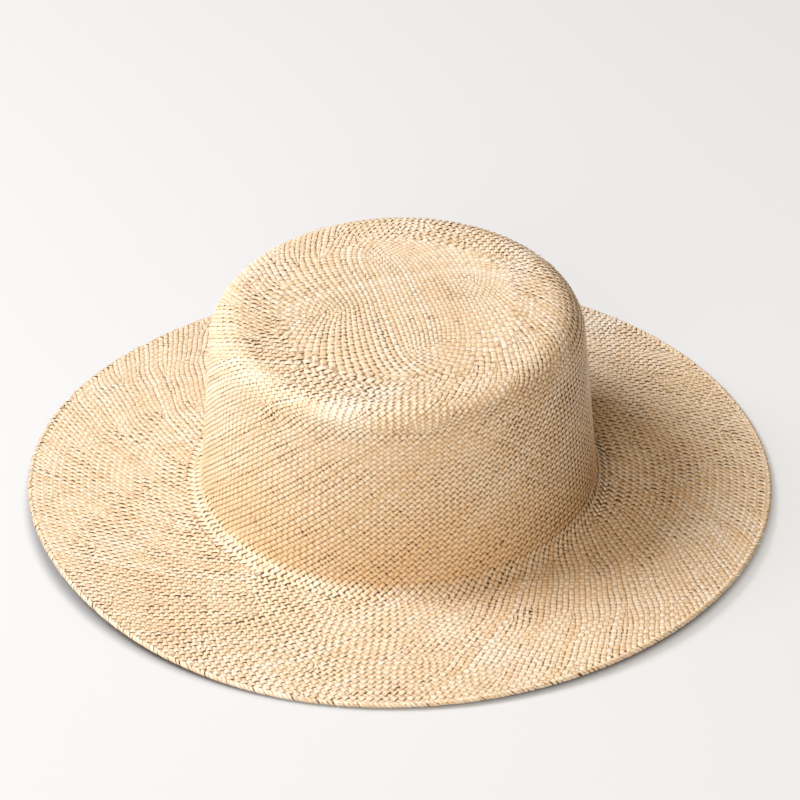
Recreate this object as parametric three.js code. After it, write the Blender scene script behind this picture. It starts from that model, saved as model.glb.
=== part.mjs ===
// Straw boater hat: a flat-topped oval crown and a wide oval brim, woven in one piece.
// Millimetres, +Z up, +Y towards the back of the hat, -Y towards its front.
// The hat stands on three low places of its wavy brim edge, so the lowest point is at z = 0.
import * as THREE from "three";

// Driving dimensions.
const crownHalfWidth = 89.5; // outside, where the side meets the brim
const crownHalfLength = 100.2;
const crownHeight = 86; // from the brim's upper face to the crown's flat top
const crownLean = 7.6; // how far the side leans in on its way up
const topEdgeRadius = 15.5;
const baseFlareRadius = 15; // widest flare between side and brim
const brimWidth = 77;
const strawThickness = 1.8;
const edgeThickness = 2.8; // the straws are turned back and woven in along the edge
const edgeBandWidth = 6;
const edgeRise = 4; // height of the highest wave of the brim's edge
const brimLift = 2; // underside of the brim at the crown, above the surface it stands on

// Smoothness of the faceted surface.
const segments = 64;
const brimSteps = 7;
const flareSteps = 4;
const sideSteps = 4;
const roundSteps = 5;
const topRings = 2;

// Round the hat, by azimuth in degrees from +X: rise is a share of edgeRise, reach a share of
// brimWidth that the edge stands further out, flare a share of baseFlareRadius.
const waves = [
  { azimuth: 25, rise: 0.0, reach: 0.002, flare: 0.6 },
  { azimuth: 65, rise: 0.5, reach: 0.0, flare: 0.6 },
  { azimuth: 95, rise: 0.3, reach: 0.003, flare: 0.6 },
  { azimuth: 125, rise: 0.0, reach: 0.0, flare: 0.8 },
  { azimuth: 172, rise: 0.6, reach: 0.014, flare: 1.0 },
  { azimuth: 212, rise: 1.0, reach: -0.026, flare: 0.9 },
  { azimuth: 262, rise: 0.0, reach: -0.002, flare: 0.55 },
  { azimuth: 325, rise: 0.75, reach: 0.014, flare: 0.5 },
];

// A column of the table at any azimuth, level at each row and smooth between rows.
function around(column, azimuth) {
  const count = waves.length;
  const turn = (azimuth - waves[0].azimuth + 720) % 360;
  for (let i = 0; i < count; i++) {
    const here = waves[i];
    const next = waves[(i + 1) % count];
    const start = here.azimuth - waves[0].azimuth;
    const span = (next.azimuth - here.azimuth + 360) % 360;
    if (turn <= start + span) {
      const share = THREE.MathUtils.smoothstep(turn - start, 0, span);
      return THREE.MathUtils.lerp(here[column], next[column], share);
    }
  }
  return waves[0][column];
}

const smooth = (value, low, high) => THREE.MathUtils.smoothstep(value, low, high);

// The upper face's section at one azimuth, from the edge in to the rim of the flat top.
// out is the distance outside the crown's base oval, up the height over the brim at the crown.
function section(azimuth) {
  const reach = brimWidth * (1 + around("reach", azimuth));
  const flare = baseFlareRadius * around("flare", azimuth);
  const edgeUp = edgeRise * around("rise", azimuth) - brimLift + edgeThickness - strawThickness;
  const lean = Math.atan2(crownLean, crownHeight);
  const points = [];
  // The brim, flat at the crown and following the edge's wave further out.
  for (let i = 0; i < brimSteps; i++) {
    const out = THREE.MathUtils.lerp(reach, flare, i / brimSteps);
    points.push(new THREE.Vector2(out, edgeUp * smooth(out, flare, reach)));
  }
  // The flare: an arc from the level brim up to the leaning side.
  const flareTurn = Math.PI / 2 - lean;
  const footOut = flare * Math.tan(flareTurn / 2);
  for (let i = 0; i <= flareSteps; i++) {
    const angle = (flareTurn * i) / flareSteps;
    points.push(
      new THREE.Vector2(footOut - flare * Math.sin(angle), flare * (1 - Math.cos(angle))),
    );
  }
  // The side, then the rounded edge of the top.
  const sideStart = points[points.length - 1].clone();
  const endUp = crownHeight - topEdgeRadius * (1 - Math.sin(lean));
  const rise = endUp - sideStart.y;
  const sideEnd = new THREE.Vector2(sideStart.x - rise * Math.tan(lean), endUp);
  for (let i = 1; i <= sideSteps; i++)
    points.push(sideStart.clone().lerp(sideEnd, i / sideSteps));
  const centre = new THREE.Vector2(
    sideEnd.x - topEdgeRadius * Math.cos(lean),
    crownHeight - topEdgeRadius,
  );
  for (let i = 1; i <= roundSteps; i++) {
    const angle = lean + ((Math.PI / 2 - lean) * i) / roundSteps;
    points.push(
      new THREE.Vector2(
        centre.x + topEdgeRadius * Math.cos(angle),
        centre.y + topEdgeRadius * Math.sin(angle),
      ),
    );
  }
  return { points, reach };
}

// The same section moved in by the wall's thickness, which grows in the edge's band.
function liningOf({ points, reach }) {
  return points.map((point, i) => {
    const before = points[Math.max(i - 1, 0)];
    const after = points[Math.min(i + 1, points.length - 1)];
    const along = after.clone().sub(before).normalize();
    const band = smooth(point.x, reach - edgeBandWidth, reach);
    const thickness = THREE.MathUtils.lerp(strawThickness, edgeThickness, band);
    const level = i === 0 || i === points.length - 1;
    const normal = level ? new THREE.Vector2(0, 1) : new THREE.Vector2(-along.y, along.x);
    if (normal.y < 0) normal.negate();
    return point.clone().addScaledVector(normal, -thickness);
  });
}

// A point of the hat: out from the crown's base oval along the oval's own normal.
function place(azimuth, out, up) {
  const turn = THREE.MathUtils.degToRad(azimuth);
  const x = crownHalfWidth * Math.cos(turn);
  const y = crownHalfLength * Math.sin(turn);
  const normal = new THREE.Vector2(x / crownHalfWidth ** 2, y / crownHalfLength ** 2).normalize();
  return new THREE.Vector3(x + out * normal.x, y + out * normal.y, brimLift + strawThickness + up);
}

// Rings of points from the middle of the top, down the outside, round the edge and back inside.
function hatRings() {
  const columns = [];
  for (let i = 0; i < segments; i++) {
    const azimuth = (360 * i) / segments;
    const outer = section(azimuth);
    const inner = liningOf(outer);
    const upper = outer.points.map((p) => place(azimuth, p.x, p.y));
    const lower = inner.map((p) => place(azimuth, p.x, p.y));
    // The turned edge is round: its middle stands out past its two faces.
    const nose = upper[0].clone().add(lower[0]).multiplyScalar(0.5);
    const outward = upper[0].clone().sub(upper[1]).setZ(0).setLength(edgeThickness * 0.35);
    nose.add(outward);
    const flatRim = upper[upper.length - 1];
    const liningRim = lower[lower.length - 1];
    const topFace = [];
    const topLining = [];
    for (let k = 1; k < topRings; k++) {
      const share = k / topRings;
      topFace.push(new THREE.Vector3(flatRim.x * share, flatRim.y * share, flatRim.z));
      topLining.push(new THREE.Vector3(liningRim.x * share, liningRim.y * share, liningRim.z));
    }
    columns.push([...topFace, ...upper.reverse(), nose, ...lower, ...topLining.reverse()]);
  }
  return columns;
}

function hatGeometry() {
  const columns = hatRings();
  const rings = columns[0].length;
  const points = columns.flat();
  const topMiddle = points.length;
  points.push(new THREE.Vector3(0, 0, columns[0][0].z));
  const liningMiddle = points.length;
  points.push(new THREE.Vector3(0, 0, columns[0][rings - 1].z));
  const faces = [];
  for (let i = 0; i < segments; i++) {
    const here = i * rings;
    const next = ((i + 1) % segments) * rings;
    faces.push(topMiddle, here, next);
    for (let k = 0; k + 1 < rings; k++) {
      faces.push(here + k, here + k + 1, next + k + 1);
      faces.push(here + k, next + k + 1, next + k);
    }
    faces.push(liningMiddle, next + rings - 1, here + rings - 1);
  }
  const geometry = new THREE.BufferGeometry().setFromPoints(points);
  geometry.setIndex(faces);
  geometry.computeVertexNormals();
  // The frame's origin is under the middle of the brim, on the surface the hat stands on.
  geometry.computeBoundingBox();
  const middle = geometry.boundingBox.getCenter(new THREE.Vector3());
  geometry.translate(-middle.x, -middle.y, -geometry.boundingBox.min.z);
  return geometry;
}

const straw = new THREE.MeshStandardMaterial({
  color: new THREE.Color(0.83, 0.68, 0.46),
  roughness: 0.72,
  metalness: 0,
});

const hat = new THREE.Group();
const hatBody = new THREE.Mesh(hatGeometry(), straw);
hatBody.name = "hat_body";
hat.add(hatBody);

export default hat;
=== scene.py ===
# Straw boater hat, woven in one piece from pale plaited straws.
# Metres, +Z up, -Y towards the front of the hat, which stands on its brim.
import math

import bpy
import numpy as np
from mathutils import Matrix, Vector


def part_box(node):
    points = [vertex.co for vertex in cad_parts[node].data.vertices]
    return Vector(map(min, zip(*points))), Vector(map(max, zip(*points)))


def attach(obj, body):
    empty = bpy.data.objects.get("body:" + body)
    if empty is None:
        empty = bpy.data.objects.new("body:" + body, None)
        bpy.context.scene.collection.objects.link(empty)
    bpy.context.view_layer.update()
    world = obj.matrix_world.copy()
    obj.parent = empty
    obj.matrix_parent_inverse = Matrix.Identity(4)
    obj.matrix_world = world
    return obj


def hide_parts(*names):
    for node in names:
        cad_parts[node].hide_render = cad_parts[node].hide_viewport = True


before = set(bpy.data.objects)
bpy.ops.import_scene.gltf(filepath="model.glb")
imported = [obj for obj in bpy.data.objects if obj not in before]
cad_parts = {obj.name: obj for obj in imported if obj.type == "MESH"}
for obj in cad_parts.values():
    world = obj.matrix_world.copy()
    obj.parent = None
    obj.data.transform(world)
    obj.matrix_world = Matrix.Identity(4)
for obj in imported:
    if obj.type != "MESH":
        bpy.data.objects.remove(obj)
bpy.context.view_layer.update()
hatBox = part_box("hat_body")
print("frame loaded:", ", ".join(sorted(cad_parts)))

# The hat's form: the sizes of its solid, but crisper at the crease and at the top's front edge.
hatForm = {
    "crownHalfWidth": 0.0895,
    "crownHalfLength": 0.1002,
    "crownHeight": 0.086,
    "crownLean": 0.0076,
    "topEdgeRadius": 0.0155,
    "frontEdge": 0.30,  # share by which the top's edge is crisper at the front
    "baseFlareRadius": 0.015,
    "creaseShare": 0.42,  # share of that radius which the straws take at the crease
    "creaseSwing": 0.25,  # how much of the waves' own swing it keeps
    "brimWidth": 0.077,
    "strawThickness": 0.0018,
    "edgeThickness": 0.0028,
    "noseShare": 0.35,  # how far the turned edge stands out, as a share of its thickness
    "edgeRise": 0.004,
    "brimLift": 0.002,
    # azimuth in degrees from +X, then shares of edgeRise, brimWidth and baseFlareRadius
    "waves": [
        {"azimuth": 25, "rise": 0.0, "reach": 0.002, "flare": 0.6},
        {"azimuth": 65, "rise": 0.5, "reach": 0.0, "flare": 0.6},
        {"azimuth": 95, "rise": 0.3, "reach": 0.003, "flare": 0.6},
        {"azimuth": 125, "rise": 0.0, "reach": 0.0, "flare": 0.8},
        {"azimuth": 172, "rise": 0.6, "reach": 0.014, "flare": 1.0},
        {"azimuth": 212, "rise": 1.0, "reach": -0.026, "flare": 0.9},
        {"azimuth": 262, "rise": 0.0, "reach": -0.002, "flare": 0.55},
        {"azimuth": 325, "rise": 0.75, "reach": 0.014, "flare": 0.5},
    ],
}


def smoothStep(value, low=0.0, high=1.0):
    share = np.clip((value - low) / (high - low), 0, 1)
    return share * share * (3 - 2 * share)


def around(column, turn):
    # a column of the waves at any azimuth in radians, smooth between its rows
    waves = hatForm["waves"]
    first = waves[0]["azimuth"]
    degrees = np.mod(np.degrees(turn) - first, 360)
    value = np.full(np.shape(degrees), float(waves[0][column]))
    for here, following in zip(waves, waves[1:] + waves[:1]):
        start = here["azimuth"] - first
        span = (following["azimuth"] - here["azimuth"]) % 360
        share = smoothStep(degrees, start, start + span)
        level = here[column] + (following[column] - here[column]) * share
        value = np.where((degrees >= start) & (degrees <= start + span), level, value)
    return value


lean = math.atan2(hatForm["crownLean"], hatForm["crownHeight"])
flareTurn = math.pi / 2 - lean


def section(turn, station):
    # Stations run from the middle of the top: 0 to 1 its flat, 1 to 2 the rounded edge,
    # 2 to 3 the side, 3 to 4 the flare and 4 to 5 the brim.
    front = smoothStep(np.cos(turn + math.pi / 2), 0.15, 0.85)
    radius = hatForm["topEdgeRadius"] * (1 - hatForm["frontEdge"] * front)
    sideTop = hatForm["crownHeight"] - radius * (1 - math.sin(lean))
    reach = hatForm["brimWidth"] * (1 + around("reach", turn))
    crease = hatForm["creaseShare"] + hatForm["creaseSwing"] * (around("flare", turn) - 0.6)
    flare = hatForm["baseFlareRadius"] * crease
    edgeUp = hatForm["edgeRise"] * around("rise", turn) - hatForm["brimLift"]
    edgeUp = edgeUp + hatForm["edgeThickness"] - hatForm["strawThickness"]
    foot = flare * math.tan(flareTurn / 2)
    sideFootOut = foot - flare * math.sin(flareTurn)
    sideFootUp = flare * (1 - math.cos(flareTurn))
    sideTopOut = sideFootOut - (sideTop - sideFootUp) * math.tan(lean)
    middleOut = sideTopOut - radius * math.cos(lean)
    middleUp = hatForm["crownHeight"] - radius
    angle = math.pi / 2 - flareTurn * np.clip(station - 1, 0, 1)
    down = np.clip(station - 2, 0, 1)
    bend = flareTurn * np.clip(4 - station, 0, 1)
    brimOut = foot + (reach - foot) * np.clip(station - 4, 0, 1.2)
    share = np.clip((brimOut - flare) / (reach - flare), 0, 1)
    slope = edgeUp * 6 * share * (1 - share) / (reach - flare)
    tilt = 1 / np.sqrt(1 + slope * slope)
    parts = [station < 2, station < 3, station < 4]
    out = np.select(
        parts,
        [
            middleOut + radius * np.cos(angle),
            sideTopOut + (sideFootOut - sideTopOut) * down,
            foot - flare * np.sin(bend),
        ],
        brimOut,
    )
    up = np.select(
        parts,
        [
            middleUp + radius * np.sin(angle),
            sideTop + (sideFootUp - sideTop) * down,
            flare * (1 - np.cos(bend)),
        ],
        edgeUp * smoothStep(share),
    )
    outward = np.select(parts, [np.cos(angle), math.cos(lean), np.sin(bend)], -slope * tilt)
    upward = np.select(parts, [np.sin(angle), math.sin(lean), np.cos(bend)], tilt)
    return out, up, outward, upward


def place(turn, out, up, share=1.0):
    x = hatForm["crownHalfWidth"] * np.cos(turn)
    y = hatForm["crownHalfLength"] * np.sin(turn)
    nx = x / hatForm["crownHalfWidth"] ** 2
    ny = y / hatForm["crownHalfLength"] ** 2
    size = np.sqrt(nx * nx + ny * ny)
    nx, ny = nx / size, ny / size
    level = hatForm["brimLift"] + hatForm["strawThickness"] + up
    return np.stack([(x + out * nx) * share, (y + out * ny) * share, level], -1), nx, ny


# The solid stands centred on its own box, so the form is moved the same way.
solidColumns = 64  # columns of faces round the solid
edgeTurns = np.arange(solidColumns) * math.tau / solidColumns
edgeOut = section(edgeTurns, np.full(solidColumns, 5.0))[0]
edgeOut = edgeOut + hatForm["noseShare"] * hatForm["edgeThickness"]
edgePoints = place(edgeTurns, edgeOut, np.zeros(solidColumns))[0]
formShift = np.array(
    [
        (hatBox[0].x + hatBox[1].x) / 2 - (edgePoints[:, 0].min() + edgePoints[:, 0].max()) / 2,
        (hatBox[0].y + hatBox[1].y) / 2 - (edgePoints[:, 1].min() + edgePoints[:, 1].max()) / 2,
        hatBox[1].z - hatForm["brimLift"] - hatForm["strawThickness"] - hatForm["crownHeight"],
    ]
)


def onHat(turn, station):
    # points of the outer face and its normals
    turn, station = np.broadcast_arrays(np.asarray(turn, float), np.asarray(station, float))
    out, up, outward, upward = section(turn, station)
    points, nx, ny = place(turn, out, up, np.clip(station, 0, 1))
    normals = np.stack([outward * nx, outward * ny, upward], -1)
    return points + formShift, normals


# Arc length down a middling section of the oval, station by station.
meanTurn = math.radians(45)
sampleStations = np.linspace(0, 5, 1001)
samplePoints = onHat(meanTurn, sampleStations)[0]
sampleSteps = np.linalg.norm(np.diff(samplePoints, axis=0), axis=1)
sampleLengths = np.concatenate([[0], np.cumsum(sampleSteps)])


def lengthAt(station):
    return np.interp(station, sampleStations, sampleLengths)


def stationAt(length):
    return np.interp(length, sampleLengths, sampleStations)


def radiusAt(length):
    points = onHat(np.full(np.shape(length), meanTurn), stationAt(length))[0]
    return np.hypot(points[..., 0], points[..., 1])


# How the straws are laid.
weave = {
    "topStraws": 80,  # of each of the two directions, round the square start of the top
    "cornerTurn": math.radians(-72),  # where the first of the start's four corners stands
    "cornerDepth": 0.040,  # arc length from the start's middle to its corners
    "cornerReach": 0.0145,  # how far round a corner the cloth is eased open
    "joinDepth": 0.056,  # arc length at which the rows go round as spirals
    "startShift": (0.005, 0.008),  # the start's middle from the middle of the top
    "shiftFades": 0.016,  # arc length beyond which the shift fades
    # straws of each direction round the hat, by station of the section
    "strawsAt": [(0.76, 80), (0.84, 112), (1.0, 140), (2.0, 172), (2.2, 174), (3.9, 174), (5.0, 336)],
    "sideSqueeze": 1.33,  # straws lie flatter than 45 degrees on the side
    "growth": 0.014,  # length over which an added straw comes to its full width
    "growthBefore": 0.35,  # share of it that comes before the straw is counted
    "growthShown": 0.12,  # share of the full width at which the straw itself begins
    # straw width as a share of its room, by station of the section
    "fillAt": [(0.5, 0.89), (1.5, 0.91), (2.1, 0.82), (3.9, 0.78), (4.2, 0.91), (5.0, 0.95)],
    "narrowest": 0.0008,
    "widest": 0.0036,
    "ownWidth": 0.055,  # how much one straw's width differs from the next one's
    "alongWidth": 0.045,  # and how much it changes down the straw
    "thinPlaces": 0.34,  # now and then a straw is thin and leaves a pinhole
    "thinFrom": 0.85,  # a higher number here makes fewer of them
    "plump": 0.38,  # straw thickness as a share of its width
    "depth": 0.0009,  # middle of the cloth under the hat's outer face
    "swing": 0.00042,  # how far a straw goes over and under
    "raised": 0.00014,  # one direction's straws lie prouder and wider than the other's
    "bolder": 0.11,
    "wander": 0.06,  # how far a straw strays sideways, as a share of its room
    "wanderFrom": 0.008,  # length past the join by which it strays in full
    "evenedBy": 0.03,  # length past the join in which uneven rows come to even ones
    "under": 0.0024,  # how far a spiral straw reaches back under the start
    "near": 0.0008,  # a crossing nearer to the join than this sets the height there
    "underHeights": (-0.8, -1.1),  # a start straw's last two heights, under the spirals
    "endsShort": 0.0006,  # straws are turned back this far inside the edge
    "pairsStep": 0.6180339887,  # golden share, so that added straws never line up
    "seed": 7,
}
chance = np.random.default_rng(weave["seed"])


def traceStartStraws():
    # Half straws of the square start, one direction, each half a crossing apart, traced
    # through the pattern in which three rows of cells meet at each corner.
    count = weave["topStraws"] // 4
    axisLength = math.pi / 4 / math.sin(math.pi / 4)  # from the middle to a corner, in rows
    scale = count / axisLength
    fine = np.linspace(0, 1, 200001)[:-1]  # along that axis
    rate = scale * (1 - fine**4) ** -0.25
    run = np.concatenate([[0], np.cumsum((rate[1:] + rate[:-1]) / 2 * fine[1])])
    starts = np.interp(np.arange(count) + 0.5, run, fine)
    spot = 1j * starts
    root = (1 - spot**4) ** 0.25
    farthest = weave["joinDepth"] / weave["cornerDepth"]
    path = [spot.copy()]
    fineSteps = 12  # steps of the tracing for each half crossing
    mostPoints = 500
    step = 0.5 / fineSteps

    def slope(where, near):
        value = (1 - where**4) ** 0.25
        turns = np.array([1, 1j, -1, -1j])[:, None] * value[None, :]
        best = np.argmin(abs(turns - near[None, :]), axis=0)
        value = turns[best, np.arange(len(best))]
        return value / scale, value

    for _ in range(mostPoints):
        for _ in range(fineSteps):
            first, nearFirst = slope(spot, root)
            second, nearSecond = slope(spot + first * step / 2, nearFirst)
            third, nearThird = slope(spot + second * step / 2, nearSecond)
            fourth, _ = slope(spot + third * step, nearThird)
            spot = spot + (first + 2 * second + 2 * third + fourth) * step / 6
            _, root = slope(spot, nearThird)
        path.append(spot.copy())
        if abs(spot).min() > farthest * 1.12:
            break
    return np.array(path).T


joinLength = weave["joinDepth"]
traces = traceStartStraws()
print("start straws traced:", traces.shape)


def startHalf(trace, left, below, quarter, j):
    # turns, lengths and heights of one half straw, in one of the pattern's eight places
    spots = np.conj(trace) if left != below else trace
    spots = spots * 1j ** (quarter + (2 if left else 0))
    lengths = abs(spots) * weave["cornerDepth"]
    turns = np.unwrap(np.angle(spots)) + weave["cornerTurn"]
    steps = np.arange(len(trace))
    side = -1.0 if left == below else 1.0
    heights = np.where(steps % 2 == 1, -side * (-1.0) ** (steps // 2 + j), 0.0)
    keep = int(np.argmax(lengths > joinLength))
    joinTurn = float(np.interp(joinLength, lengths[: keep + 1], turns[: keep + 1]))
    last = keep - 1 if (keep - 1) % 2 == 1 else keep - 2
    end = {
        "turn": joinTurn % math.tau,
        "clockwise": bool(turns[keep] < turns[keep - 1]),
        "height": heights[last],
    }
    # the half straw runs on a little under the spiral that carries it on
    runsOn = [heights[keep] * 0.3 - 0.3, *weave["underHeights"]]
    heights = np.append(heights[:keep], runsOn)
    return turns[: len(heights)], lengths[: len(heights)], heights, end


def startStraws():
    # each straw crosses the whole start: its turns, lengths and heights (-1 under, 1 over)
    straws = []
    ends = []
    for quarter in range(2):
        for below in (False, True):
            for j, trace in enumerate(traces):
                *leftHalf, leftEnd = startHalf(trace, True, below, quarter, j)
                *rightHalf, rightEnd = startHalf(trace, False, below, quarter, j)
                ends.extend([leftEnd, rightEnd])
                columns = ("turns", "lengths", "heights")
                halves = zip(columns, leftHalf, rightHalf)
                straws.append({c: np.concatenate([a[:0:-1], b]) for c, a, b in halves})
    return straws, ends


start, startEnds = startStraws()
print("start straws:", len(start), "ends:", len(startEnds))


def spiralFamily(clockwise, offset):
    # Straws of one direction from the join down to the edge: their turns on a grid of
    # lengths, and each one's share of the width there. New straws come in pairs.
    first = sorted((e for e in startEnds if e["clockwise"] == clockwise), key=lambda e: e["turn"])
    starts = np.array([e["turn"] for e in first])
    count = len(starts)
    edge = float(lengthAt(5.0)) - weave["endsShort"]
    grid = np.linspace(joinLength, edge, 640)  # under half a millimetre apart
    radii = radiusAt(grid)
    onSide = smoothStep(grid, float(lengthAt(1.1)), float(lengthAt(2.0)))
    offSide = smoothStep(grid, float(lengthAt(2.9)), float(lengthAt(4.1)))
    squeeze = 1 + (weave["sideSqueeze"] - 1) * (onSide - offSide)
    rate = squeeze / radii * (-1 if clockwise else 1)
    twist = np.concatenate([[0], np.cumsum((rate[1:] + rate[:-1]) / 2)]) * (grid[1] - grid[0])
    stations = [row[0] for row in weave["strawsAt"]]
    wanted = np.interp(stationAt(grid), stations, [row[1] for row in weave["strawsAt"]])
    pairs = (weave["strawsAt"][-1][1] - count) // 2
    rising = wanted + np.arange(len(grid)) * 1e-6
    births = np.interp(count + 2 * np.arange(pairs) + 1, rising, grid)
    gaps = (np.arange(pairs) * weave["pairsStep"] + offset) % 1
    members = []
    for k in range(count):
        members.append({"end": first[k], "birth": None})
        inGap = [m for m in range(pairs) if int(gaps[m] * count) == k]
        for m in sorted(inGap, key=lambda m: gaps[m]):
            members.append({"end": None, "birth": births[m]})
            members.append({"end": None, "birth": births[m]})
    shares = np.ones((len(members), len(grid)))
    for k, member in enumerate(members):
        if member["birth"] is not None:
            begin = member["birth"] - weave["growth"] * weave["growthBefore"]
            shares[k] = smoothStep(grid, begin, begin + weave["growth"])
    total = shares.sum(0)
    spread = math.tau * (np.cumsum(shares, 0) - shares / 2) / total
    old = np.array([m["birth"] is None for m in members])
    even = math.tau * (np.arange(count) + 0.5) / count
    drift = (spread[old] - even[:, None]).mean(0)
    anchor = (starts - even).mean()
    bends = starts - even - anchor
    crowd = (np.roll(bends, -1) - np.roll(bends, 1)) / 2 * count / math.tau
    uneven = np.interp(np.arange(len(members)), np.flatnonzero(old), bends)
    crowding = np.interp(np.arange(len(members)), np.flatnonzero(old), crowd)
    fading = 1 - smoothStep(grid, joinLength, joinLength + weave["evenedBy"])
    turns = spread - drift + anchor + twist + uneven[:, None] * fading
    apart = math.tau * shares / total * (1 + crowding[:, None] * fading)  # room as an angle
    begins = [
        grid[0] if m["birth"] is None else float(np.interp(weave["growthShown"], row, grid))
        for m, row in zip(members, shares)
    ]
    return {
        "grid": grid,
        "turns": turns,
        "apart": apart,
        "rate": rate,
        "begins": np.array(begins),
        "members": members,
    }


# The two directions, seen from above.
counter = spiralFamily(False, 0.11)
clock = spiralFamily(True, 0.53)
print("spiral straws:", len(counter["members"]), len(clock["members"]))


def crossings(rising, falling):
    # Lengths at which each rising straw meets each falling one, and which is on top there.
    grid = rising["grid"]
    above = [[] for _ in rising["members"]]
    below = [[] for _ in falling["members"]]
    for i, turns in enumerate(rising["turns"]):
        gap = (turns[None, :] - falling["turns"]) / math.tau
        whole = np.floor(gap)
        which, at = np.nonzero(np.diff(whole, axis=1) > 0)
        before = gap[which, at] - whole[which, at]
        after = gap[which, at + 1] - whole[which, at]
        lengths = grid[at] + (1 - before) / (after - before) * (grid[1] - grid[0])
        for j, length in zip(which, lengths):
            if length < max(rising["begins"][i], falling["begins"][j]):
                continue
            over = 1.0 if (i + j) % 2 == 0 else -1.0
            above[i].append((length, over))
            below[j].append((length, -over))
    return above, below


counter["met"], clock["met"] = crossings(counter, clock)


def agreement():
    # whether the first crossings of the spirals carry on the start's over and under
    votes = 0.0
    for family in (counter, clock):
        for member, places in zip(family["members"], family["met"]):
            if member["end"] is not None and places:
                votes -= member["end"]["height"] * min(places)[1]
    return votes


vote = agreement()
overSign = 1.0 if vote > 0 else -1.0
print("start and spirals agree by", vote)


def varied(count, spread, every):
    # a slow random wander along a straw
    knots = chance.normal(0, spread, count // every + 3)
    return np.interp(np.arange(count) / every, np.arange(len(knots)), knots)


def spiralStraws(family):
    # one direction's straws: over or under at each crossing, level halfway between two
    straws = []
    grid = family["grid"]
    for k, (member, places) in enumerate(zip(family["members"], family["met"])):
        places = sorted(places)
        if len(places) < 2:
            continue
        if member["end"] is not None:
            # the spiral comes up from under the start, at once where its first crossing is near
            lengths = [grid[0] - weave["under"], grid[0]]
            soon = places[0][0] - grid[0] < weave["near"]
            heights = [-0.9, places[0][1] * overSign * (1.0 if soon else -0.25)]
        else:
            lengths, heights = [family["begins"][k]], [-0.8]
        for n, (length, over) in enumerate(places):
            if n:
                lengths.append((length + places[n - 1][0]) / 2)
                heights.append(0.0)
            lengths.append(length)
            heights.append(over * overSign)
        lengths.append(grid[-1])
        heights.append(-0.3)
        lengths = np.array(lengths)
        before = np.minimum(lengths - grid[0], 0) * family["rate"][0]
        raised = weave["raised"] * (1 if family is clock else -1)
        straws.append(
            {
                "turns": np.interp(lengths, grid, family["turns"][k]) + before,
                "lengths": lengths,
                "heights": np.array(heights),
                "apart": np.interp(lengths, grid, family["apart"][k]),
                "rate": np.interp(lengths, grid, family["rate"]),
                "raised": np.full(len(lengths), raised),
            }
        )
    return straws


def easedCorners(points):
    # rows crowd together at the start's corners, so the cloth is eased open there
    reach = weave["cornerReach"]
    fullPower = 0.75  # three corners of cells fill a whole turn there, in place of four
    for k in range(4):
        turn = weave["cornerTurn"] + k * math.pi / 2
        corner = onHat(turn, stationAt(weave["cornerDepth"]))[0][:2]
        away = points[:, :2] - corner
        far = np.maximum(np.linalg.norm(away, axis=1), 1e-6)
        share = np.minimum(far / reach, 1)
        power = fullPower + (1 - fullPower) * smoothStep(share)
        points[:, :2] = corner + away * (share ** (power - 1))[:, None]
    return points


def strawLine(straw):
    # points, normals and room of one straw's middle line
    turns, lengths = straw["turns"], straw["lengths"]
    points, normals = onHat(turns, stationAt(lengths))
    if "apart" in straw:
        littleTurn = 0.002
        littleLength = 0.0002
        sideways = (onHat(turns + littleTurn, stationAt(lengths))[0] - points) / littleTurn
        down = (onHat(turns, stationAt(lengths + littleLength))[0] - points) / littleLength
        along = straw["rate"][:, None] * sideways + down
        room = np.linalg.norm(np.cross(sideways, down), axis=1) * straw["apart"]
        room = room / np.linalg.norm(along, axis=1)
        stray = varied(len(turns), weave["wander"], 14) * room
        stray = stray * smoothStep(lengths, joinLength, joinLength + weave["wanderFrom"])
        across = np.linalg.norm(sideways, axis=1) * np.linalg.norm(down, axis=1)
        turns = turns + stray * np.linalg.norm(along, axis=1) / across
        points, normals = onHat(turns, stationAt(lengths))
    else:
        points = easedCorners(points)
        room = 2 * np.linalg.norm(np.gradient(points, axis=0), axis=1)
    lifts = -weave["depth"] + weave["swing"] * straw["heights"] + straw.get("raised", 0)
    points = points + normals * lifts[:, None]
    fade = 1 - smoothStep(lengths, weave["shiftFades"], float(lengthAt(1.0)))
    points[:, :2] += fade[:, None] * np.array(weave["startShift"])
    return points, normals, room


def strawTable(straws):
    # one table of points for a piece: everything its straws need at each point
    rows = []
    for number, straw in enumerate(straws):
        points, normals, room = strawLine(straw)
        count = len(points)
        thin = np.clip(varied(count, 1, 6) - weave["thinFrom"], 0, 1) * weave["thinPlaces"]
        bolder = weave["bolder"] * np.sign(np.mean(straw.get("raised", 0.0)))
        own = 1 + bolder + chance.normal(0, weave["ownWidth"])
        stations, fills = zip(*weave["fillAt"])
        fill = np.interp(stationAt(straw["lengths"]), stations, fills)
        wide = room * fill * own * (1 + varied(count, weave["alongWidth"], 9) - thin)
        steps = np.linalg.norm(np.diff(points, axis=0), axis=1)
        along = np.concatenate([[0], np.cumsum(steps)]) + chance.random() * 9
        rows.append(
            {
                "points": points,
                "normals": normals,
                "wide": np.clip(wide, weave["narrowest"], weave["widest"]),
                "along": along,
                "tone": np.full(count, chance.random()),
                "blush": np.full(count, chance.random()),
                "row": np.full(count, float(number)),
                # how far under the other straws it lies, which the material darkens with painted shade
                "dip": (1 - straw["heights"]) / 2,
                "lengths": straw["lengths"],
            }
        )
    return rows


def cutAt(rows, low, high):
    # the stretch of each straw between two arc lengths
    parts = []
    for row in rows:
        lengths = row["lengths"]
        keep = np.flatnonzero((lengths >= low) & (lengths <= high))
        if len(keep) and keep[-1] + 1 < len(lengths):
            keep = np.append(keep, keep[-1] + 1)
        if len(keep) > 2:
            parts.append({name: values[keep] for name, values in row.items()})
    return parts


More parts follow.
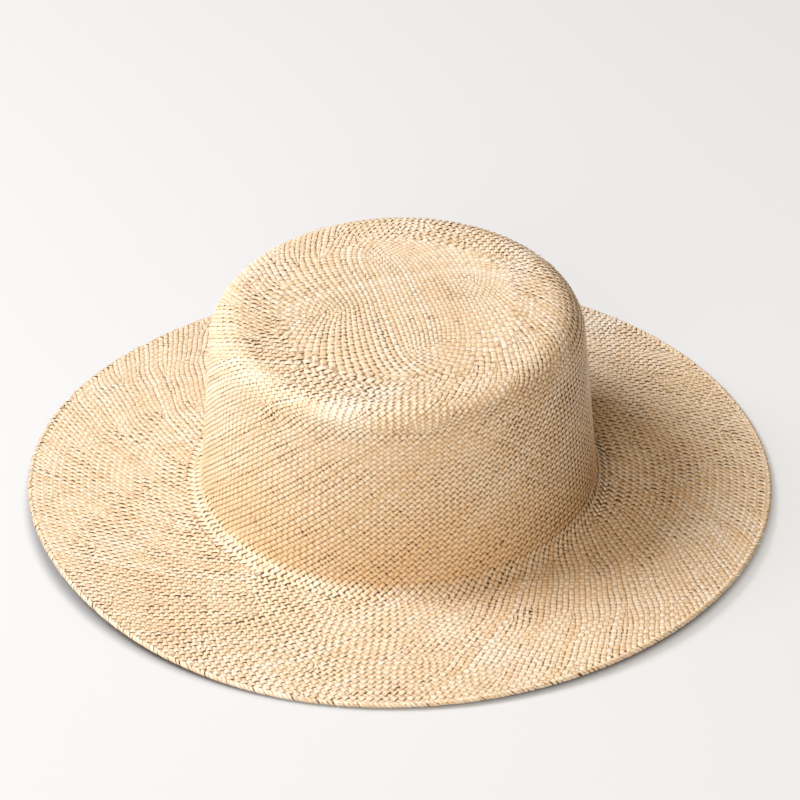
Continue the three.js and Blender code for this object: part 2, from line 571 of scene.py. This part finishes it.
edgeFinish = {
    "turns": 520,  # straws turned over the edge, one beside the other
    "slant": 0.0045,  # how far each runs along the edge on its way over
    "width": 0.0017,
    "strayWidth": 0.15,
    "strayPlace": 0.09,  # how unevenly they stand, as a share of their distance
    "straySlant": 0.25,
    # how far each point of a turned straw stands out past the edge, and up from its face
    "path": [
        (-0.0020, -0.0010),
        (-0.0013, -0.0005),
        (-0.0006, -0.0003),
        (0.0000, -0.0007),
        (0.0003, -0.0013),
        (-0.0001, -0.0019),
        (-0.0011, -0.0022),
        (-0.0024, -0.0019),
    ],
    "taper": [0.6, 0.9, 1, 1, 1, 1, 0.9, 0.6],
    "dip": [0.9, 0.5, 0.1, 0, 0, 0.1, 0.5, 0.9],  # 1 where it is hidden, 0 where it lies open; painted shade darkens the hidden parts
}


def edgeRows():
    # short straws wound over the edge, slanting along it
    rows = []
    count = edgeFinish["turns"]
    path = np.array(edgeFinish["path"])
    shares = np.linspace(-0.5, 0.5, len(path))
    stray = edgeFinish["strayWidth"]
    radius = float(radiusAt(lengthAt(5.0)))
    for n in range(count):
        turn = math.tau * (n + chance.normal(0, edgeFinish["strayPlace"])) / count
        slant = edgeFinish["slant"] / radius * (1 + chance.normal(0, edgeFinish["straySlant"]))
        turns = turn + shares * slant
        edge, normals = onHat(turns, np.full(len(path), 5.0))
        inner = onHat(turns, np.full(len(path), 4.95))[0]
        outward = edge - inner
        outward = outward / np.linalg.norm(outward, axis=1)[:, None]
        size = 1 + chance.normal(0, stray)
        points = edge + outward * path[:, :1] * size + normals * path[:, 1:]
        facing = np.gradient(points, axis=0)
        facing = facing / np.linalg.norm(facing, axis=1)[:, None]
        sideways = np.cross(outward, normals)
        lifts = np.cross(sideways, facing)
        lifts = lifts / np.linalg.norm(lifts, axis=1)[:, None]
        lifts = lifts * np.sign((lifts * (outward * path[:, :1] + normals)).sum(1))[:1, None]
        wide = edgeFinish["width"] * (1 + chance.normal(0, stray))
        steps = np.linalg.norm(np.diff(points, axis=0), axis=1)
        rows.append(
            {
                "points": points,
                "normals": lifts,
                "wide": wide * np.array(edgeFinish["taper"]),
                "along": np.concatenate([[0], np.cumsum(steps)]) + chance.random() * 9,
                "tone": np.full(len(path), chance.random()),
                "blush": np.full(len(path), chance.random()),
                "row": np.full(len(path), float(n)),
                "dip": np.array(edgeFinish["dip"]),
            }
        )
    return rows


looseFibres = {
    "count": 260,
    "width": 0.0004,
    "length": 0.0055,
    "rise": 0.0014,  # how high the free end stands over the straws
    "atEdge": 0.35,  # share of them along the brim's edge
    "past": 0.0018,  # the farthest one reaches past the edge
    "tucked": 0.0007,  # how deep the other end lies
    "bend": 0.5,
    "points": 6,
    "plump": 0.8,
}


def fibreRows():
    # single fibres that have come away from the straws, one end tucked in
    rows = []
    count = looseFibres["points"]
    shares = np.linspace(0, 1, count)
    edge = float(lengthAt(5.0))
    tucked = looseFibres["tucked"]
    for n in range(looseFibres["count"]):
        reach = looseFibres["length"] * (0.4 + 1.1 * chance.random())
        heading = chance.random() * math.tau
        middle = edge * math.sqrt(0.05 + 0.9 * chance.random())
        if chance.random() < looseFibres["atEdge"]:
            middle = edge - 0.001
            heading = math.pi / 2 + chance.normal(0, 0.9)
            reach = reach * 0.5
        way = heading + chance.normal(0, looseFibres["bend"]) * shares
        lengths = np.minimum(middle + reach * shares * np.sin(way), edge + looseFibres["past"])
        radius = max(float(radiusAt(middle)), 0.02)
        turns = chance.random() * math.tau + reach * shares * np.cos(way) / radius
        points, normals = onHat(turns, stationAt(np.minimum(lengths, edge)))
        beyond = onHat(turns, 5.0)[0] - onHat(turns, 4.9)[0]
        beyond = beyond / np.linalg.norm(beyond, axis=1)[:, None]
        points = points + beyond * np.maximum(lengths - edge, 0)[:, None]
        lifts = -tucked + (tucked + looseFibres["rise"] * chance.random()) * np.sqrt(shares)
        points = points + normals * lifts[:, None]
        fine = looseFibres["width"] * (0.7 + 0.6 * chance.random())
        rows.append(
            {
                "points": points,
                "normals": normals,
                "wide": fine * (1 - 0.6 * shares),
                "along": shares * reach + chance.random() * 9,
                "tone": np.full(count, chance.random()),
                "blush": np.full(count, 0.1 * chance.random()),
                "row": np.full(count, float(n)),
                # the tucked end is darkened with painted shade
                "dip": 0.5 - 0.5 * shares,
            }
        )
    return rows


class TreeMaker:
    # adds nodes to a tree: type, settings first, then the values or links of its sockets
    def __init__(self, tree):
        self.tree = tree

    def add(self, kind, settings=None, **sockets):
        node = self.tree.nodes.new(kind)
        for name, value in (settings or {}).items():
            setattr(node, name, value)
        for name, value in sockets.items():
            numbered = name[0] == "s" and name[1:].isdigit()  # s0 is the first socket
            socket = node.inputs[int(name[1:]) if numbered else name.replace("_", " ")]
            if isinstance(value, Shade):
                value = value.socket
            if isinstance(value, bpy.types.NodeSocket):
                self.tree.links.new(value, socket)
            else:
                socket.default_value = value
        return node


class Shade:
    # a socket of a shader whose arithmetic adds Math nodes
    def __init__(self, maker, socket):
        self.maker = maker
        self.socket = socket

    def math(self, operation, first, second):
        node = self.maker.add("ShaderNodeMath", {"operation": operation}, s0=first, s1=second)
        return Shade(self.maker, node.outputs[0])

    def __add__(self, other):
        return self.math("ADD", self, other)

    def __radd__(self, other):
        return self.math("ADD", other, self)

    def __sub__(self, other):
        return self.math("SUBTRACT", self, other)

    def __rsub__(self, other):
        return self.math("SUBTRACT", other, self)

    def __mul__(self, other):
        return self.math("MULTIPLY", self, other)

    def __rmul__(self, other):
        return self.math("MULTIPLY", other, self)

    def between(self, low, high):
        node = self.maker.add(
            "ShaderNodeMapRange",
            {"interpolation_type": "SMOOTHSTEP"},
            Value=self.socket,
            From_Min=low,
            From_Max=high,
        )
        return Shade(self.maker, node.outputs[0])


def strawTree():
    # sweeps a plump straw along each line of points
    tree = bpy.data.node_groups.new("Straw along its line", "GeometryNodeTree")
    face = tree.interface
    face.new_socket("Geometry", in_out="INPUT", socket_type="NodeSocketGeometry")
    plump = face.new_socket("Plumpness", in_out="INPUT", socket_type="NodeSocketFloat")
    straw = face.new_socket("Straw", in_out="INPUT", socket_type="NodeSocketMaterial")
    face.new_socket("Geometry", in_out="OUTPUT", socket_type="NodeSocketGeometry")
    make = TreeMaker(tree)
    given = make.add("NodeGroupInput")
    # a flat lens with four corners, of which 0 and 2 are the straw's thin sides
    lens = make.add(
        "GeometryNodeCurvePrimitiveQuadrilateral",
        {"mode": "KITE"},
        Width=given.outputs["Plumpness"],  # along the hat's normal
        Bottom_Height=0.5,
        Top_Height=0.5,
    )
    corner = make.add("GeometryNodeInputIndex")
    marked = make.add(
        "GeometryNodeStoreNamedAttribute",
        {"data_type": "FLOAT", "domain": "POINT"},
        Geometry=lens.outputs[0],
        Name="corner",
        Value=corner.outputs[0],
    )
    # side mask: 1 at the thin sides, 0 at the middle; the straw material paints shade along it
    even = make.add("ShaderNodeMath", {"operation": "MODULO"}, s0=corner.outputs[0], s1=2.0)
    sides = make.add("ShaderNodeMath", {"operation": "SUBTRACT"}, s0=1.0, s1=even.outputs[0])
    marked = make.add(
        "GeometryNodeStoreNamedAttribute",
        {"data_type": "FLOAT", "domain": "POINT"},
        Geometry=marked.outputs[0],
        Name="side",
        Value=sides.outputs[0],
    )
    lines = make.add("GeometryNodeMeshToCurve", Mesh=given.outputs["Geometry"])
    lift = make.add("GeometryNodeInputNamedAttribute", {"data_type": "FLOAT_VECTOR"}, Name="lift")
    turned = make.add(
        "GeometryNodeSetCurveNormal",
        {"mode": "FREE"},
        Curve=lines.outputs[0],
        Normal=lift.outputs[0],
    )
    wide = make.add("GeometryNodeInputNamedAttribute", {"data_type": "FLOAT"}, Name="wide")
    swept = make.add(
        "GeometryNodeCurveToMesh",
        Curve=turned.outputs[0],
        Profile_Curve=marked.outputs[0],
        Scale=wide.outputs[0],
        Fill_Caps=True,
    )
    smooth = make.add("GeometryNodeSetShadeSmooth", Geometry=swept.outputs[0], Shade_Smooth=True)
    real = make.add("GeometryNodeRealizeInstances", Geometry=smooth.outputs[0])
    finished = make.add(
        "GeometryNodeSetMaterial",
        Geometry=real.outputs[0],
        Material=given.outputs["Straw"],
    )
    result = make.add("NodeGroupOutput")
    tree.links.new(finished.outputs[0], result.inputs[0])
    return tree, plump.identifier, straw.identifier


strawSweep, plumpSocket, strawSocket = strawTree()
strawSides = (0, 2)
print("straw sweep made")


def crispSides(mesh):
    # a straw is flat with two thin sides, so its shading breaks there and nowhere else
    corners = np.zeros(len(mesh.vertices), np.float32)
    mesh.attributes["corner"].data.foreach_get("value", corners)
    ends = np.zeros(len(mesh.edges) * 2, np.int32)
    mesh.edges.foreach_get("vertices", ends)
    first, second = corners[ends[0::2]], corners[ends[1::2]]
    sharp = (first == second) & ((first == strawSides[0]) | (first == strawSides[1]))
    if "sharp_edge" not in mesh.attributes:
        mesh.attributes.new("sharp_edge", "BOOLEAN", "EDGE")
    mesh.attributes["sharp_edge"].data.foreach_set("value", sharp)


def sweptPiece(name, rows, material, plump):
    # the lines of a piece as one mesh of points and edges, swept, and kept as a plain mesh
    points = np.concatenate([r["points"] for r in rows])
    counts = [len(r["points"]) for r in rows]
    starts = np.concatenate([[0], np.cumsum(counts)])[:-1]
    edges = [np.stack([np.arange(n - 1), np.arange(1, n)], 1) + s for n, s in zip(counts, starts)]
    lines = bpy.data.meshes.new(name + "_lines")
    lines.from_pydata(points.tolist(), np.concatenate(edges).tolist(), [])
    for column in ("wide", "along", "tone", "blush", "row", "dip"):
        values = np.concatenate([r[column] for r in rows]).astype(np.float32)
        lines.attributes.new(column, "FLOAT", "POINT").data.foreach_set("value", values)
    lifts = np.concatenate([r["normals"] for r in rows]).astype(np.float32)
    lines.attributes.new("lift", "FLOAT_VECTOR", "POINT").data.foreach_set("vector", lifts.ravel())
    holder = bpy.data.objects.new(name + "_lines", lines)
    bpy.context.scene.collection.objects.link(holder)
    sweep = holder.modifiers.new("Sweep", "NODES")
    sweep.node_group = strawSweep
    sweep[plumpSocket] = plump
    sweep[strawSocket] = material
    bpy.context.view_layer.update()
    depsgraph = bpy.context.evaluated_depsgraph_get()
    mesh = bpy.data.meshes.new_from_object(holder.evaluated_get(depsgraph), depsgraph=depsgraph)
    bpy.data.objects.remove(holder)
    mesh.name = name
    crispSides(mesh)
    piece = bpy.data.objects.new(name, mesh)
    bpy.context.scene.collection.objects.link(piece)
    print(name, len(mesh.polygons), "faces")
    return piece


strawLook = {
    "pale": (0.95, 0.81, 0.625),
    "golden": (0.84, 0.63, 0.40),
    "blush": (0.88, 0.68, 0.53),
    "blushShare": 0.55,  # how strongly it shows, as the other shares do
    "cream": (0.97, 0.91, 0.81),
    "creamShare": 0.6,
    "dark": (0.42, 0.24, 0.10),  # dark fibres
    "darkShare": 0.7,
    "lightFibreAndGlintShare": 0.65,  # light fibres, which also serve as painted glints on the straws
    "warm": (0.88, 0.65, 0.42),  # warmer patches of the cloth
    "warmShare": 0.45,
    "paleShare": 0.5,  # and paler ones
    # painted warm shade at the foot of the crown
    "foot": (0.86, 0.60, 0.34),
    "footShadeShare": 0.5,
    "footShadeFrom": (0.0062, 0.0095),  # heights between which the painted shade at the crown's foot comes and goes
    "footShadeTo": (0.012, 0.055),
    "weaveShade": (0.34, 0.20, 0.095),  # painted shade along a straw's sides and where it dips under another
    "sideShadeShare": 0.65,
    "dipShadeShare": 0.75,
    "fibreScale": 420,  # larger numbers make shorter streaks, tones and patches
    "lengthScale": 320,
    "patchScale": 26.0,
    "roughness": 0.37,
    "fibreRoughness": 0.18,
    "specular": 0.5,
    "bump": 0.6,
    "bumpDepth": 0.0002,
}


def strawMaterial(name, look):
    material = bpy.data.materials.new(name)
    material.use_nodes = True
    tree = material.node_tree
    make = TreeMaker(tree)
    shader = tree.nodes["Principled BSDF"]

    def attribute(column):
        return Shade(make, make.add("ShaderNodeAttribute", {"attribute_name": column}).outputs["Fac"])

    def noise(place, scale, detail, roughness=0.5):
        sizes = {"Scale": scale, "Detail": detail, "Roughness": roughness}
        node = make.add("ShaderNodeTexNoise", Vector=place, **sizes)
        return Shade(make, node.outputs["Fac"])

    def tinted(share, colour, tint):
        first = colour.socket if isinstance(colour, Shade) else (*colour, 1)
        node = make.add("ShaderNodeMix", {"data_type": "RGBA"}, s0=share, s6=first, s7=(*look[tint], 1))
        return Shade(make, node.outputs[2])

    along = attribute("along")
    row = attribute("row")
    blush = attribute("blush")
    # fibres: long streaks down each straw, other ones on each side and in each row
    fibrePlace = make.add(
        "ShaderNodeCombineXYZ",
        X=along * look["fibreScale"],
        Y=attribute("corner") * 3.1,
        Z=row * 7.7,
    )
    fibre = noise(fibrePlace.outputs[0], 1.0, 2.0, 0.6)
    # each straw has its own tone, which changes down its length
    lengthPlace = make.add("ShaderNodeCombineXYZ", X=along * look["lengthScale"], Y=row * 3.3)
    length = noise(lengthPlace.outputs[0], 1.0, 1.0)
    toned = (attribute("tone") * 0.55 + length * 0.9 - 0.25).between(0.15, 1.0)
    colour = tinted(toned, look["pale"], "golden")
    colour = tinted(blush.between(0.72, 1.0) * look["blushShare"], colour, "blush")
    colour = tinted((1 - blush.between(0.0, 0.22)) * look["creamShare"], colour, "cream")
    colour = tinted(fibre.between(0.54, 0.78) * look["darkShare"], colour, "dark")
    # light fibres of the straw, partly painted glints
    colour = tinted((1 - fibre.between(0.28, 0.44)) * look["lightFibreAndGlintShare"], colour, "cream")
    # the cloth is warmer in some places and paler in others
    spot = make.add("ShaderNodeTexCoord").outputs["Object"]
    patch = noise(spot, look["patchScale"], 2.0)
    colour = tinted(patch.between(0.52, 0.75) * look["warmShare"], colour, "warm")
    colour = tinted((1 - patch.between(0.25, 0.46)) * look["paleShare"], colour, "cream")
    # painted warm shade at the foot of the crown, where the brim bounces light
    height = Shade(make, make.add("ShaderNodeSeparateXYZ", Vector=spot).outputs["Z"])
    foot = height.between(*look["footShadeFrom"]) * (1 - height.between(*look["footShadeTo"]))
    colour = tinted(foot * look["footShadeShare"], colour, "foot")
    # painted shade along each straw's thin sides and where it dips under another straw
    colour = tinted(attribute("side").between(0.66, 1.0) * look["sideShadeShare"], colour, "weaveShade")
    colour = tinted(attribute("dip").between(0.3, 0.9) * look["dipShadeShare"], colour, "weaveShade")
    tree.links.new(colour.socket, shader.inputs["Base Color"])
    rough = fibre * look["fibreRoughness"] + look["roughness"]
    tree.links.new(rough.socket, shader.inputs["Roughness"])
    shader.inputs["Specular IOR Level"].default_value = look["specular"]
    strength = {"Strength": look["bump"], "Distance": look["bumpDepth"]}
    bump = make.add("ShaderNodeBump", Height=fibre, **strength)
    tree.links.new(bump.outputs[0], shader.inputs["Normal"])
    return material


straw = strawMaterial("Pale plaited straw", strawLook)

# The spirals are cut where the brim starts, and each family in two halves.
brimStarts = float(lengthAt(3.9))
pieces = [sweptPiece("top_straws", strawTable(start), straw, weave["plump"])]
for family, word in ((counter, "right"), (clock, "left")):
    laid = strawTable(spiralStraws(family))
    crown = cutAt(laid, 0, brimStarts)
    brim = cutAt(laid, brimStarts, 1)
    for where, rows in (("crown_straws_", crown), ("brim_straws_", brim)):
        half = len(rows) // 2
        for part, name in ((rows[:half], "_a"), (rows[half:], "_b")):
            pieces.append(sweptPiece(where + word + name, part, straw, weave["plump"]))
pieces.append(sweptPiece("edge_straws", edgeRows(), straw, weave["plump"]))
pieces.append(sweptPiece("loose_fibres", fibreRows(), straw, looseFibres["plump"]))

for piece in pieces:
    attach(piece, "root")
    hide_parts("hat_body")
print("pieces placed")

# The photograph's view: a long lens about 1.4 m away.
view = {
    "elevation": math.radians(30.777),
    "azimuth": math.radians(3.207),
    "roll": math.radians(-0.761),
    "distance": 1.43197,
    "lens": 144.35,
    "sensor": 36,
    "target": Vector((0.000878, 0.0, 0.040523)),
}


def makeCamera():
    data = bpy.data.cameras.new("Camera")
    data.lens = view["lens"]
    data.sensor_width = view["sensor"]
    data.clip_end = 50
    camera = bpy.data.objects.new("Camera", data)
    bpy.context.scene.collection.objects.link(camera)
    level = math.cos(view["elevation"])
    side = math.sin(view["azimuth"]) * level
    away = Vector((side, -math.cos(view["azimuth"]) * level, math.sin(view["elevation"])))
    camera.location = view["target"] + away * view["distance"]
    facing = (-away).to_track_quat("-Z", "Y").to_matrix().to_4x4()
    camera.rotation_euler = (facing @ Matrix.Rotation(view["roll"], 4, "Z")).to_euler()
    bpy.context.scene.camera = camera


makeCamera()

studio = {
    "floor": (0.35, 0.355, 0.36),
    "floorHalf": 6.0,
    "floorRoughness": 0.9,
    "glow": 0.40,
    "shaded": (0.168, 0.178, 1.0),  # the oval of painted shade under the hat, which doesn't glow
    "world": 0.27,
    "worldColour": (1, 0.79, 0.58, 1),
    "aim": (0, 0, 0.05),
    "key": {"spot": (-1.18, 0.08, 1.38), "size": 1.0, "power": 28.0, "colour": (0.96, 0.99, 1.05)},
    "fill": {"spot": (-0.35, -1.8, 0.95), "size": 1.2, "power": 15.5, "colour": (1, 0.91, 0.79)},
}


def makeLamp(name, lamp):
    data = bpy.data.lights.new(name, "AREA")
    data.shape = "DISK"
    data.size = lamp["size"]
    data.energy = lamp["power"]
    data.color = lamp["colour"]
    light = bpy.data.objects.new(name, data)
    light.location = lamp["spot"]
    facing = Vector(studio["aim"]) - Vector(lamp["spot"])
    light.rotation_euler = facing.to_track_quat("-Z", "Y").to_euler()
    bpy.context.scene.collection.objects.link(light)


def makeStudio():
    half = studio["floorHalf"]
    corners = [(-half, -half, 0), (half, -half, 0), (half, half, 0), (-half, half, 0)]
    mesh = bpy.data.meshes.new("floor")
    mesh.from_pydata(corners, [], [(0, 1, 2, 3)])
    floor = bpy.data.objects.new("floor", mesh)
    bpy.context.scene.collection.objects.link(floor)
    paper = bpy.data.materials.new("Pale paper floor")
    paper.use_nodes = True
    shader = paper.node_tree.nodes["Principled BSDF"]
    shader.inputs["Base Color"].default_value = (*studio["floor"], 1)
    shader.inputs["Roughness"].default_value = studio["floorRoughness"]
    # the paper glows evenly, except in an oval under the hat that is left dark as painted shade
    make = TreeMaker(paper.node_tree)
    spot = make.add("ShaderNodeTexCoord").outputs["Object"]
    shares = make.add("ShaderNodeVectorMath", {"operation": "DIVIDE"}, s0=spot, s1=studio["shaded"])
    far = make.add("ShaderNodeVectorMath", {"operation": "LENGTH"}, s0=shares.outputs[0])
    glow = Shade(make, far.outputs["Value"]).between(0.975, 1.015)
    paper.node_tree.links.new(glow.socket, shader.inputs["Emission Color"])
    shader.inputs["Emission Strength"].default_value = studio["glow"]
    mesh.materials.append(paper)
    world = bpy.data.worlds.new("Soft studio")
    world.use_nodes = True
    background = world.node_tree.nodes["Background"]
    background.inputs[0].default_value = studio["worldColour"]
    background.inputs[1].default_value = studio["world"]
    bpy.context.scene.world = world
    makeLamp("key", studio["key"])
    makeLamp("fill", studio["fill"])


makeStudio()
bpy.context.scene.view_settings.view_transform = "Standard"
bpy.context.scene.view_settings.look = "Medium High Contrast"
print("camera and studio made")
